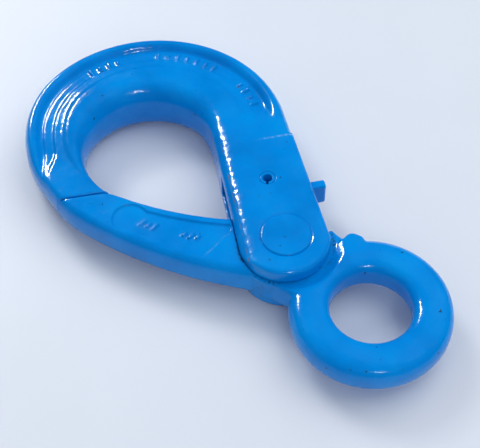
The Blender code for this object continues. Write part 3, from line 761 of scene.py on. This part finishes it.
def pocket_outline():
    """Long recess in the arm: a round end near the tip, sides that follow the arm, a slanted end."""
    inner = (*ARM_INNER_ARC[:2], ARM_INNER_ARC[2] + POCKET_INNER_BORDER)
    outer = (*ARM_OUTER_ARC[:2], ARM_OUTER_ARC[2] - POCKET_OUTER_BORDER)
    start, end = POCKET_START_X, POCKET_END_X
    along = [start + (end - start) * i / 16 for i in range(17)]
    upper = [arm_edge(inner, x + 0.12 * (end - x)) for x in along]
    lower = [arm_edge(outer, x) for x in reversed(along)]
    upper[-1] = upper[-1] + Vector((-3.0 * MM, -1.2 * MM, 0))
    corner = [Vector((end, upper[-1].y - 2.6 * MM, 0))]
    middle = (upper[0] + lower[-1]) / 2
    radius = (upper[0] - lower[-1]).length / 2
    turn = atan2(lower[-1].y - middle.y, lower[-1].x - middle.x)
    round_end = arc((middle.x, middle.y), radius, turn, turn - pi, 20)[1:-1]
    return [(p.x, p.y) for p in upper + corner + lower] + round_end


def make_eye_latch():
    body = eye_ring()
    hub = cylinder("hub", HUB_RADIUS, -HUB_HALF, HUB_HALF)
    for piece in (neck(), shoulder(), hub):
        combine(body, piece, "UNION")
    arm = latch_arm()
    for side in (1, -1):
        combine(body, cheek_clearance(side), "DIFFERENCE")
        combine(body, open_clearance(side), "DIFFERENCE")
        combine(arm, fork_clearance(side), "DIFFERENCE")
    combine(body, arm, "UNION")
    top, floor = ARM_HALF_THICKNESS + 2 * MM, ARM_HALF_THICKNESS - POCKET_DEPTH
    combine(body, plate("upper_pocket", pocket_outline(), floor, top), "DIFFERENCE")
    combine(body, plate("lower_pocket", pocket_outline(), -top, -floor), "DIFFERENCE")
    recess = arc((0, 0), RECESS_RADIUS, RECESS_START, RECESS_END, 30)
    recess += arc((0, 0), HUB_RADIUS + 3 * MM, RECESS_END, RECESS_START, 30)
    combine(body, plate("pawl_recess", recess, -top, top), "DIFFERENCE")
    combine(body, cylinder("hub_bore", PIN_RADIUS + GAP, -top, top), "DIFFERENCE")
    raised_bars(body, "pocket_bar", pocket_spots(), floor)
    return enamelled(body, soft_zone=blend_zone)


# ---------------------------------------------------------------- pins, trigger and spring


def make_load_pin():
    half, chamfer = BOWL_HALF_THICKNESS, PIN_HEAD_ROUNDING
    under = half - PIN_HEAD_THICKNESS
    upper = [(0, half), (PIN_HEAD_RADIUS - 4 * MM, half)]
    for step in range(6):
        turn = pi / 2 - step * pi / 10
        radius = PIN_HEAD_RADIUS - chamfer * (1 - cos(turn))
        upper.append((radius, half - chamfer * (1 - sin(turn))))
    upper += [(PIN_HEAD_RADIUS, under), (PIN_RADIUS, under)]
    pin = turned("load_pin_enamelled", upper + [(r, -z) for r, z in reversed(upper)])
    pin.data.shade_smooth()
    pin.data.set_sharp_from_angle(angle=radians(50))
    return pin


def make_trigger_pin():
    """A rolled spring pin: a tube with a slit along it and softened ends."""
    inner = ROLL_PIN_RADIUS - ROLL_PIN_WALL
    facing = radians(-50)
    wide, narrow = ROLL_PIN_SLIT / 2 / ROLL_PIN_RADIUS, ROLL_PIN_SLIT / 2 / inner
    outline = arc((0, 0), ROLL_PIN_RADIUS, facing + wide, facing + 2 * pi - wide, 64)
    outline += arc((0, 0), inner, facing + 2 * pi - narrow, facing + narrow, 64)
    half = FORK_HALF_THICKNESS - 0.2 * MM
    pin = plate("rolled_pin", outline, -half, half, 0.25 * MM)
    pin.data.shade_smooth()
    pin.data.set_sharp_from_angle(angle=radians(40))
    return pin


def trigger_outline():
    """Boss on the pin, a tab out of the hook's back, and a pawl that reaches the hub."""
    boss = (TRIGGER_ALONG, TRIGGER_ACROSS)
    pawl = [(30.6, 1.4), (26.4, 5.4), (19.4, 11.1), (23.3, 15.5), (27.4, 19.2), (31.4, 20.6)]
    pawl = [(along * MM, across * MM) for along, across in pawl]
    tab = [(TAB_NEAR, 23.0 * MM)]
    soft = 1.2 * MM
    tab += arc((TAB_NEAR + soft, TAB_ACROSS - soft), soft, pi, pi / 2, 5)
    tab += arc((TAB_FAR - soft, TAB_ACROSS - soft), soft, pi / 2, 0, 5)
    tab.append((TAB_FAR, 21.0 * MM))
    round_boss = arc(boss, TRIGGER_BOSS_RADIUS, radians(35), radians(-150), 28)
    outline = [fork_point(along, across) for along, across in pawl + tab + round_boss]
    origin = fork_point(*boss)
    return [(x - origin[0], y - origin[1]) for x, y in outline]


def make_trigger():
    half, reach = TRIGGER_HALF, TRIGGER_HALF + 2 * MM
    trigger = plate("thumb_trigger", trigger_outline(), -half, half, 1.0 * MM)
    groove_half = SPRING_GROOVE_HALF
    bore = cylinder("trigger_bore", ROLL_PIN_RADIUS + GAP, -reach, reach)
    groove = cylinder("spring_groove", SPRING_GROOVE_RADIUS, -groove_half, groove_half)
    origin = fork_point(TRIGGER_ALONG, TRIGGER_ACROSS)
    ends = ((36.0, -1.0), (40.5, -1.0), (40.5, 14.0), (36.0, 14.0))
    corners = [fork_point(along * MM, across * MM) for along, across in ends]
    corners = [(x - origin[0], y - origin[1]) for x, y in corners]
    leg_room = plate("spring_leg_room", corners, -groove_half + 0.1 * MM, groove_half - 0.1 * MM)
    for tool in (bore, groove, leg_room):
        combine(trigger, tool, "DIFFERENCE")
    return enamelled(trigger, TRIGGER_VOXEL, 3)


def make_spring():
    """Torsion spring round the trigger pin, with two straight legs."""
    per_turn = 40
    steps = SPRING_TURNS * per_turn
    start = FORK_ANGLE - pi
    rise = SPRING_TURNS * SPRING_PITCH
    points = []
    for i in range(steps + 1):
        turn = start + 2 * pi * i / per_turn
        height = -rise / 2 + rise * i / steps
        points.append(Vector((SPRING_RADIUS * cos(turn), SPRING_RADIUS * sin(turn), height)))
    towards_tab = Vector((sin(FORK_ANGLE), -cos(FORK_ANGLE), 0))
    points.insert(0, points[0] + towards_tab * -5.5 * MM)
    points.append(points[-1] + towards_tab * 7.0 * MM)
    curve = bpy.data.curves.new("torsion_spring", "CURVE")
    curve.dimensions = "3D"
    curve.bevel_depth = SPRING_WIRE / 2
    curve.bevel_resolution = 3
    curve.use_fill_caps = True
    spline = curve.splines.new("POLY")
    spline.points.add(len(points) - 1)
    for point, place in zip(spline.points, points):
        point.co = (*place, 1)
    guide = bpy.data.objects.new("spring_guide", curve)
    helpers.objects.link(guide)
    bpy.context.view_layer.update()
    graph = bpy.context.evaluated_depsgraph_get()
    mesh = bpy.data.meshes.new_from_object(guide.evaluated_get(graph))
    bpy.data.objects.remove(guide)
    spring = bpy.data.objects.new("torsion_spring", mesh)
    helpers.objects.link(spring)
    spring.data.shade_smooth()
    return spring


# ---------------------------------------------------------------- materials


class Nodes:
    """Short calls to make and link shader nodes in one material."""

    def __init__(self, name):
        self.material = bpy.data.materials.new(name)
        self.material.use_nodes = True
        self.tree = self.material.node_tree
        self.shader = self.tree.nodes["Principled BSDF"]

    def add(self, kind, **settings):
        node = self.tree.nodes.new(kind)
        for key, value in settings.items():
            setattr(node, key, value)
        return node

    def link(self, output, target):
        self.tree.links.new(output, target)

    def noise(self, scale, detail=2.0, roughness=0.5, distortion=0.0):
        coordinates = self.add("ShaderNodeTexCoord")
        noise = self.add("ShaderNodeTexNoise")
        noise.inputs["Scale"].default_value = scale
        noise.inputs["Detail"].default_value = detail
        noise.inputs["Roughness"].default_value = roughness
        noise.inputs["Distortion"].default_value = distortion
        self.link(coordinates.outputs["Object"], noise.inputs["Vector"])
        return noise.outputs["Fac"]

    def ramp(self, value, stops):
        ramp = self.add("ShaderNodeValToRGB")
        elements = ramp.color_ramp.elements
        while len(elements) < len(stops):
            elements.new(0.5)
        for element, (place, colour) in zip(elements, stops):
            element.position = place
            element.color = (*colour, 1.0)
        self.link(value, ramp.inputs["Fac"])
        return ramp.outputs["Color"]

    def mix(self, factor, first, second):
        """Blend two colours; each is a socket or a plain colour."""
        mix = self.add("ShaderNodeMix", data_type="RGBA")
        self.link(factor, mix.inputs["Factor"])
        for value, name in ((first, "A"), (second, "B")):
            socket = next(s for s in mix.inputs if s.name == name and s.type == "RGBA")
            if isinstance(value, tuple):
                socket.default_value = (*value, 1.0)
            else:
                self.link(value, socket)
        return next(s for s in mix.outputs if s.type == "RGBA")

    def ruler(self, direction, origin):
        """Signed distance from the origin along a direction, in the object's own coordinates."""
        coordinates = self.add("ShaderNodeTexCoord")
        shift = self.add("ShaderNodeVectorMath", operation="SUBTRACT")
        dot = self.add("ShaderNodeVectorMath", operation="DOT_PRODUCT")
        self.link(coordinates.outputs["Object"], shift.inputs[0])
        shift.inputs[1].default_value = origin
        self.link(shift.outputs["Vector"], dot.inputs[0])
        dot.inputs[1].default_value = direction
        return dot.outputs["Value"]

    def radius(self, origin):
        """Distance in plan from an upright axis."""
        coordinates = self.add("ShaderNodeTexCoord")
        shift = self.add("ShaderNodeVectorMath", operation="SUBTRACT")
        flatten = self.add("ShaderNodeVectorMath", operation="MULTIPLY")
        length = self.add("ShaderNodeVectorMath", operation="LENGTH")
        self.link(coordinates.outputs["Object"], shift.inputs[0])
        shift.inputs[1].default_value = origin
        self.link(shift.outputs["Vector"], flatten.inputs[0])
        flatten.inputs[1].default_value = (1, 1, 0)
        self.link(flatten.outputs["Vector"], length.inputs[0])
        return length.outputs["Value"]

    def math(self, operation, first, second=None):
        """One arithmetic step; each value is a socket or a plain number."""
        node = self.add("ShaderNodeMath", operation=operation)
        for socket, value in zip(node.inputs, (first, second)):
            if isinstance(value, (int, float)):
                socket.default_value = value
            elif value is not None:
                self.link(value, socket)
        return node.outputs["Value"]

    def near(self, value, centre, half):
        """1 where the value is at the centre, falling to 0 at half the width away."""
        away = self.math("ABSOLUTE", self.math("SUBTRACT", value, centre))
        return self.math("MAXIMUM", self.math("SUBTRACT", 1.0, self.math("DIVIDE", away, half)), 0.0)

    def bump(self, height, strength, distance, under=None):
        bump = self.add("ShaderNodeBump")
        bump.inputs["Strength"].default_value = strength
        bump.inputs["Distance"].default_value = distance
        self.link(height, bump.inputs["Height"])
        if under is not None:
            self.link(under, bump.inputs["Normal"])
        return bump.outputs["Normal"]


BLUE, DEEP_BLUE, PALE_BLUE = (0.0, 0.245, 0.70), (0.0, 0.205, 0.61), (0.0, 0.285, 0.75)
# One dark colour serves the dirt specks and the painted shade of the gap at the hub's seam; then rust
# brown, and the pale blue of a painted highlight
DIRT_AND_SEAM_SHADE, RUST, PAINTED_HIGHLIGHT_BLUE = (0.016, 0.02, 0.022), (0.20, 0.14, 0.11), (0.42, 0.6, 0.78)
BROAD_WAVES, ORANGE_PEEL = 0.45, 0.6
# Painted highlight: a pale line across the fork's top, how far along the fork it lies and how wide it
# is
PAINTED_HIGHLIGHT_ALONG, PAINTED_HIGHLIGHT_HALF_WIDTH = 64.3 * MM, 0.9 * MM
RUST_INSET, RUST_HALF_WIDTH = 2.9 * MM, 0.45 * MM
# Ring of painted shade, with some dirt, on the hub just outside the fork's round end: how far out and
# how wide
SEAM_SHADE_AND_DIRT_OUT, SEAM_SHADE_AND_DIRT_HALF_WIDTH = 1.2 * MM, 1.7 * MM


def add_wear_and_painted_light(n, colour, slot):
    """Marks that belong to one piece, mixed over the enamel's colour: a rust line on the fork's front
    edge, a pale line across the fork's top that is a painted highlight of the edge where the bowl
    begins, and a dark ring on the hub by the fork's round end that is painted shade of the gap there,
    with some dirt.
    """
    rough = n.ramp(n.noise(650.0, 3.0, 0.6), ((0.42, (0, 0, 0)), (0.6, (1, 1, 1))))
    patchy = n.ramp(n.noise(110.0, 2.0), ((0.44, (0, 0, 0)), (0.58, (1, 1, 1))))
    along = Vector((cos(FORK_ANGLE), sin(FORK_ANGLE), 0))
    across = Vector((sin(FORK_ANGLE), -cos(FORK_ANGLE), 0))
    if slot == "blue_enamel_body":
        # A pale line across the fork's top, just before the fork's end where the bowl grows out of it,
        # strongest towards the back edge: painted highlight of that edge
        line = n.near(n.ruler(along, LOAD_PIN), PAINTED_HIGHLIGHT_ALONG, PAINTED_HIGHLIGHT_HALF_WIDTH)
        back = n.near(n.ruler(across, LOAD_PIN), 30 * MM, 34 * MM)
        colour = n.mix(n.math("MULTIPLY", n.math("MULTIPLY", line, rough), back), colour, PAINTED_HIGHLIGHT_BLUE)
        normal, offset = front_line()
        inward = Vector((cos(normal), sin(normal), 0))
        edge = n.near(n.ruler(inward, LOAD_PIN + inward * offset), RUST_INSET, RUST_HALF_WIDTH)
        upper = n.math("GREATER_THAN", n.ruler(Vector((0, 0, 1)), LOAD_PIN), 6 * MM)
        reach = n.math("LESS_THAN", n.ruler(along, LOAD_PIN), FORK_END_ALONG)
        edge = n.math("MULTIPLY", n.math("MULTIPLY", edge, upper), n.math("MULTIPLY", reach, rough))
        colour = n.mix(n.math("MULTIPLY", edge, patchy), colour, RUST)
    if slot == "blue_enamel_latch":
        # Dark ring on the hub just outside the fork's round end: painted shade of the gap under the
        # cheek, with some dirt, broken up by noise
        seam = n.near(n.radius(LOAD_PIN), FORK_RADIUS + SEAM_SHADE_AND_DIRT_OUT, SEAM_SHADE_AND_DIRT_HALF_WIDTH)
        colour = n.mix(n.math("MULTIPLY", n.math("MULTIPLY", seam, rough), patchy), colour, DIRT_AND_SEAM_SHADE)
    return colour


def blue_enamel(name):
    """Thick dipped enamel: wavy gloss, slow changes of depth, pinholes and specks of dirt."""
    n = Nodes(name)
    clouds = n.noise(38.0, 3.0)
    colour = n.ramp(clouds, ((0.3, DEEP_BLUE), (0.5, BLUE), (0.72, PALE_BLUE)))
    specks = n.ramp(n.noise(420.0, 2.0), ((0.72, (0, 0, 0)), (0.745, (1, 1, 1))))
    patches = n.ramp(n.noise(26.0, 1.0), ((0.46, (0, 0, 0)), (0.58, (1, 1, 1))))
    colour = n.mix(n.math("MULTIPLY", specks, patches), colour, DIRT_AND_SEAM_SHADE)
    colour = add_wear_and_painted_light(n, colour, name)
    n.link(colour, n.shader.inputs["Base Color"])
    gloss = n.ramp(n.noise(90.0, 4.0, 0.6), ((0.3, (0.10,) * 3), (0.75, (0.22,) * 3)))
    n.link(gloss, n.shader.inputs["Roughness"])
    broad = n.bump(n.noise(85.0, 1.5, 0.45), BROAD_WAVES, 0.9 * MM)
    peel = n.bump(n.noise(330.0, 2.0, 0.5), ORANGE_PEEL, 0.35 * MM, broad)
    n.link(peel, n.shader.inputs["Normal"])
    n.shader.inputs["Specular IOR Level"].default_value = 0.15
    n.shader.inputs["Coat Weight"].default_value = 0.25
    n.shader.inputs["Coat Roughness"].default_value = 0.04
    n.link(peel, n.shader.inputs["Coat Normal"])
    return n.material


def spring_steel(name):
    """Drawn wire with a faint oil film."""
    n = Nodes(name)
    colour = n.ramp(n.noise(500.0, 3.0), ((0.3, (0.12, 0.12, 0.13)), (0.7, (0.34, 0.34, 0.36))))
    n.link(colour, n.shader.inputs["Base Color"])
    n.shader.inputs["Metallic"].default_value = 1.0
    gloss = n.ramp(n.noise(900.0, 2.0), ((0.3, (0.25,) * 3), (0.7, (0.5,) * 3)))
    n.link(gloss, n.shader.inputs["Roughness"])
    n.link(n.bump(n.noise(1500.0, 2.0), 0.1, 0.05 * MM), n.shader.inputs["Normal"])
    return n.material


def table_top(name):
    """Pale, faintly blue, matt board."""
    n = Nodes(name)
    colour = n.ramp(n.noise(9.0, 4.0), ((0.3, (0.70, 0.725, 0.77)), (0.7, (0.73, 0.755, 0.80))))
    n.link(colour, n.shader.inputs["Base Color"])
    n.shader.inputs["Roughness"].default_value = 0.6
    n.link(n.bump(n.noise(300.0, 3.0), 0.05, 0.1 * MM), n.shader.inputs["Normal"])
    return n.material


# ---------------------------------------------------------------- assembly


def place(piece, name, origin, body, node, slot, material):
    """Carry a finished piece to its pin, name it, give it its material, hang it on its body and hide
    the frame's part it replaces.
    """
    piece.name = piece.data.name = name
    helpers.objects.unlink(piece)
    bpy.context.scene.collection.objects.link(piece)
    piece.data.transform(Matrix.Translation(origin))
    piece.data.materials.clear()
    piece.data.materials.append(material)
    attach(piece, body)
    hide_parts(node)


LIGHT_COLOUR = (0.95, 0.98, 1.0)
WORLD_COLOUR, WORLD_STRENGTH = (0.80, 0.87, 1.0, 1.0), 0.56
CAMERA_SIDE = (1.1, -0.77, 1.2)
# Name, place and size in metres, power in watts, whether it leaves highlights, whether it fills shade
LIGHTS = (
    ("window", (-1.36, 0.36, 1.32), (0.7, 0.5), 9.0, False, True),
    ("window_gloss", (-1.5, 0.3, 1.12), (0.62, 0.24), 58.0, True, False),
    ("camera_side", CAMERA_SIDE, (0.5, 0.4), 3.0, False, True),
    ("camera_side_gloss", CAMERA_SIDE, (0.16, 0.1), 12.0, True, False),
    ("ceiling", (0.35, 0.9, 1.5), (1.8, 1.6), 15.5, False, True),
)


def add_light(name, place_at, size, power, shines, fills):
    """A rectangular light aimed at the hook: it may leave highlights, fill the shade, or both."""
    data = bpy.data.lights.new(name, "AREA")
    data.shape = "RECTANGLE"
    data.size, data.size_y = size
    data.energy = power
    data.color = LIGHT_COLOUR
    light = bpy.data.objects.new(name, data)
    light.location = place_at
    light.rotation_euler = Vector(place_at).to_track_quat("Z", "Y").to_euler()
    light.visible_glossy = shines
    light.visible_diffuse = fills
    bpy.context.scene.collection.objects.link(light)


def add_stage():
    bm = bmesh.new()
    bmesh.ops.create_grid(bm, x_segments=1, y_segments=1, size=3.0)
    floor = add_mesh("floor", bm)
    helpers.objects.unlink(floor)
    bpy.context.scene.collection.objects.link(floor)
    floor.location.z = -0.02 * MM
    floor.data.materials.append(table_top("pale_board"))
    world = bpy.data.worlds.new("studio")
    world.use_nodes = True
    background = world.node_tree.nodes["Background"]
    background.inputs["Color"].default_value = WORLD_COLOUR
    background.inputs["Strength"].default_value = WORLD_STRENGTH
    world.cycles_visibility.glossy = False
    bpy.context.scene.world = world
    bpy.context.scene.view_settings.view_transform = "Standard"
    for name, place_at, size, power, shines, fills in LIGHTS:
        add_light(name, place_at, size, power, shines, fills)



def main():
    pieces = (
        (make_hook_body, "hook_forging", LOAD_PIN, "body", "hook_body", "blue_enamel_body"),
        (make_eye_latch, "eye_forging", LOAD_PIN, "latch", "eye_latch", "blue_enamel_latch"),
        (make_load_pin, "load_pin_painted", LOAD_PIN, "body", "load_pin", "blue_enamel_pin"),
        (make_trigger, "thumb_lever", TRIGGER_PIN, "trigger", "trigger", "blue_enamel_trigger"),
        (make_trigger_pin, "roll_pin", TRIGGER_PIN, "body", "trigger_pin", "painted_spring_steel"),
        (make_spring, "return_spring", TRIGGER_PIN, "trigger", "trigger_spring", "spring_steel"),
    )
    for make, name, origin, body, node, slot in pieces:
        material = spring_steel(slot) if slot == "spring_steel" else blue_enamel(slot)
        place(make(), name, origin, body, node, slot, material)
    add_stage()
    for helper in list(helpers.objects):
        bpy.data.objects.remove(helper, do_unlink=True)
    bpy.data.collections.remove(helpers)


main()
